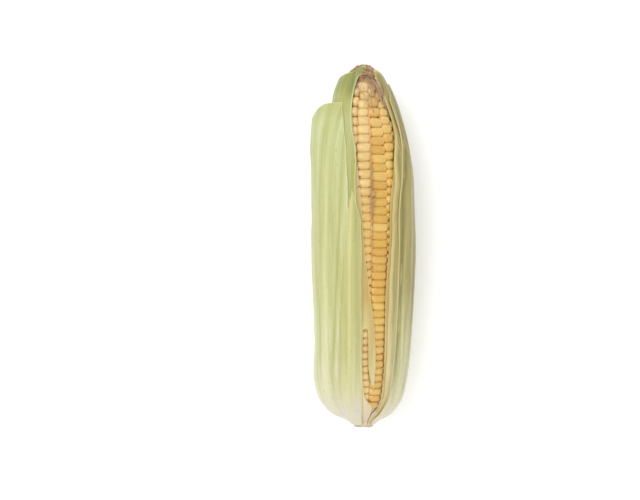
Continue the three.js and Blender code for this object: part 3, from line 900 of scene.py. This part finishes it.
OPENING_MIDDLE, OPENING_HALF = 10, 50  # where the opening is at the tip, in degrees
ROUND_TIP, TO_END, OVER_END, DOWN_SIDE, STRAY = 430, 110, 90, 26, 16  # strands in each place
THICK, FINE, FINEST = 0.15, 0.13, 0.11  # radius of a strand
SCRAP, SCRAP_TINT, SEAM_TINT = 0.24, 0.1, 0.36

# Strands in the groove left of the main row, and across it: low and high share, and how
# many degrees each starts off the groove and drifts
SEAM_STRANDS = (
    (0.55, 0.80, -0.4, 0.3), (0.50, 0.70, 0.5, -0.8), (0.60, 0.86, 0.2, 1.0), (0.62, 0.74, 1.0, -0.5),
    (0.58, 0.655, -1.2, 8.0), (0.57, 0.66, 0.6, 6.0), (0.585, 0.63, -2.5, 4.0), (0.40, 0.56, 0.3, 0.2),
)
# Angle and share of the dark scraps caught between kernels
SCRAPS = (
    (-6.4, 0.686), (-7.4, 0.66), (7.1, 0.633), (13.2, 0.645), (13.8, 0.632), (10.4, 0.44), (27, 0.925),
)


def strand_mesh(paths, radii, tints, sides=5):
    """A closed tapering tube round each path."""
    points, faces, tint, along = [], [], [], []
    ring = np.linspace(0, 2 * math.pi, sides, endpoint=False)
    base = 0
    for path, radius, shade in zip(paths, radii, tints):
        n = len(path)
        tangent = np.gradient(path, axis=0)
        tangent /= np.linalg.norm(tangent, axis=1)[:, None]
        side = np.cross(tangent, [0.3, 0.2, 0.93])  # a direction that no strand takes
        side /= np.linalg.norm(side, axis=1)[:, None]
        other = np.cross(side, tangent)
        taper = np.clip(1.15 - np.linspace(0, 1, n) ** 3, 0.2, 1) * radius
        tube = path[:, None] + taper[:, None, None] * (
            np.cos(ring)[None, :, None] * side[:, None] + np.sin(ring)[None, :, None] * other[:, None])
        points.append(tube.reshape(-1, 3))
        faces += [[base + k for k in face] for face in closed_rings(n, sides)]
        tint.append(np.full(n * sides, shade))
        along.append(np.repeat(np.arange(n) * 0.8, sides))
        base += n * sides
    return np.concatenate(points), faces, np.concatenate(tint), np.concatenate(along)


def strand(rng, start, end, wave, lift, steps=16):
    """A silk strand over the ear: start and end are (angle, share of length)."""
    t = np.linspace(0, 1, steps)
    bend = wave * np.sin(t * rng.uniform(3, 9) + rng.uniform(0, 6))
    angle = start[0] + (end[0] - start[0]) * t + bend
    y = (start[1] + (end[1] - start[1]) * t) * LENGTH
    radius = np.maximum(WRAP(y) + lift * np.sin(math.pi * np.clip(t * 1.2, 0, 1)), 0.6)
    return place(radius, angle, y)


def strand_over_end(rng, steps=14):
    """A silk strand from side to side over the end of the tip."""
    t = np.linspace(-1, 1, steps)
    turn, reach, bow = rng.uniform(0, 2 * math.pi), rng.uniform(2.0, 3.6), rng.uniform(-1.8, 1.8)
    a, b = reach * t, bow * (1 - t * t) + 0.25 * np.sin(7 * t + rng.uniform(0, 6))
    right = a * math.cos(turn) - b * math.sin(turn)
    up = a * math.sin(turn) + b * math.cos(turn)
    return place_beside_axis(right, LENGTH - rng.uniform(0.3, 1.1) - 1.3 * t * t, up)


def silk(material):
    """Strands gather over the tip. Others lie along the opening's edge and its rows."""
    rng = np.random.default_rng(7)
    paths, radii, tints = [], [], []

    def grow(start, end, wave, lift, thickness, tint=None):
        paths.append(strand(rng, start, end, wave, lift))
        radii.append(MM * rng.uniform(0.6, 1.3) * thickness)
        tints.append(rng.uniform(0, 1) if tint is None else tint)

    for _ in range(ROUND_TIP):  # they start higher where the opening is
        angle = rng.uniform(0, 360)
        in_opening = abs((angle - OPENING_MIDDLE + 180) % 360 - 180) < OPENING_HALF
        start = (angle, rng.uniform(0.963, 0.978) if in_opening else rng.uniform(0.937, 0.97))
        grow(start, (angle + rng.normal(0, 45), rng.uniform(0.965, 0.997)), 10, rng.uniform(-1.4, 1.0), THICK)
    for _ in range(TO_END):
        angle = rng.uniform(0, 360)
        start = (angle, rng.uniform(0.96, 0.985))
        grow(start, (angle + rng.normal(0, 80), rng.uniform(0.993, 0.9985)), 14, rng.uniform(-0.8, 0.3), THICK)
    for _ in range(OVER_END):
        paths.append(strand_over_end(rng))
        radii.append(MM * rng.uniform(0.09, 0.19))
        tints.append(rng.uniform(0, 1))
    for _ in range(DOWN_SIDE):  # the right side of the opening, over the last kernels
        low = rng.uniform(0.865, 0.93)
        side = 46 + (0.93 - low) * 60
        start = (side + rng.normal(0, 5), low)
        grow(start, (rng.uniform(10, 55), rng.uniform(0.962, 0.985)), 3, rng.uniform(0.3, 1.1), FINE)
    for _ in range(STRAY):  # over the kernels near the tip
        start = (rng.uniform(-30, 45), rng.uniform(0.86, 0.92))
        grow(start, (start[0] + rng.normal(0, 18), rng.uniform(0.95, 0.98)), 6, rng.uniform(0.5, 0.9), FINEST)
    seam = row_place(0)[0] - row_place(0)[1]
    for low, high, side, drift in SEAM_STRANDS:
        grow((seam + side, low), (seam + side + drift, high), 0.8, 0.35, THICK, SEAM_TINT)
    for angle, share in SCRAPS:
        grow((angle - 0.8, share - 0.003), (angle + 0.9, share + 0.003), 0.9, 0.1, SCRAP, SCRAP_TINT)
    points, faces, tint, along = strand_mesh(paths, radii, tints)
    piece = make_piece("silk_strands", points, faces, {"tint": tint, "along": along}, material)
    stand_in(piece, "silk", "silk_tuft")


def silk_mat(material, rows=40, turns=72):
    """The clotted mass that the strands lie in, at the very tip."""
    t, angle = np.meshgrid(np.linspace(0, 1, rows), np.linspace(0, 360, turns, endpoint=False), indexing="ij")
    y = (0.925 + 0.07 * t) * LENGTH
    lump = 0.7 * noise(angle / 30, y / 2.5, 3) + 0.4 * noise(angle / 11, y / 1.3, 4)
    radius = np.maximum((WRAP(y) - 1.3 + lump) * np.sqrt(np.clip(1.02 - t ** 5, 0, 1)), 0.05)
    tint = 0.35 + 0.3 * noise(angle / 14, y / 1.6, 9) + 0.5 * (1 - smooth_step(t, 0.1, 0.4))
    attributes = {"tint": tint, "along": y}
    piece = make_piece("silk_mat", place(radius, angle, y), closed_rings(rows, turns), attributes, material)
    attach(piece, "root")


# ---------------------------------------------------------------- the ear

def build_ear():
    materials = {
        name: husk_material(name, seed, colours, paint(*margin), paint(*shade))
        for name, seed, colours, margin, shade in (
            ("husk_green", 10, GREEN_RUN, (206, 206, 150), (164, 163, 80)),
            ("husk_pale", 20, PALE_RUN, (206, 200, 142), (168, 168, 96)),
            ("husk_olive", 30, OLIVE_RUN, (220, 198, 134), (130, 120, 58)),
            ("husk_lining", 40, LINING_RUN, (212, 184, 122), (184, 154, 86)),
        )
    }
    for leaf in LEAVES:
        husk_leaf(leaf, materials[leaf["slot"]])
    template, faces = kernel_template()
    gold = kernel_material()
    for index in range(ROW_COUNT):
        kernel_row(index, template, faces, gold)
    stem_and_cob(cob_material())
    threads = silk_material()
    silk(threads)
    silk_mat(threads)


# ---------------------------------------------------------------- floor, light, camera

def add_floor(reach=3.0):
    material, _, shader = new_material("studio_floor")
    set_sockets(shader, Base_Color=(0.97, 0.97, 0.97, 1), Roughness=0.9)
    corners = np.array([[-reach, -reach, 0], [reach, -reach, 0], [reach, reach, 0], [-reach, reach, 0]])
    make_piece("floor", corners, [[0, 1, 2, 3]], {}, material)


def area_light(name, position, power, size=1.0):
    """A square white light that faces the ear."""
    data = bpy.data.lights.new(name, "AREA")
    data.size = size
    data.energy = power
    light = bpy.data.objects.new(name, data)
    light.location = position
    facing = Vector((AXIS_X, 0, AXIS_Z)) - Vector(position)
    light.rotation_euler = facing.to_track_quat("-Z", "Y").to_euler()
    bpy.context.scene.collection.objects.link(light)


def add_lights():
    area_light("key_softbox", (-0.55, 0.3, 1.1), 7.5)
    area_light("fill_softbox", (0.7, -0.3, 1.0), 2)
    world = bpy.data.worlds.new("studio")
    world.use_nodes = True
    set_sockets(world.node_tree.nodes["Background"], Color=(1, 1, 1, 1), Strength=1.06)
    bpy.context.scene.world = world
    bpy.context.scene.view_settings.view_transform = "Standard"


def add_camera():
    """Straight down on the ear, which lies right of the middle of the picture."""
    picture_width = 640
    pixel = 0.5234 * MM  # one pixel of the picture, on the ear
    beside, below = 43.5 * pixel, 4.5 * pixel  # the picture's middle from that of the ear
    data = bpy.data.cameras.new("camera")
    data.lens = 150
    data.sensor_width = 36
    distance = picture_width * pixel * data.lens / data.sensor_width
    view = bpy.data.objects.new("camera", data)
    view.location = (AXIS_X - beside, -below, AXIS_Z + distance)
    bpy.context.scene.collection.objects.link(view)
    bpy.context.scene.camera = view


add_camera()
add_lights()
add_floor()
build_ear()
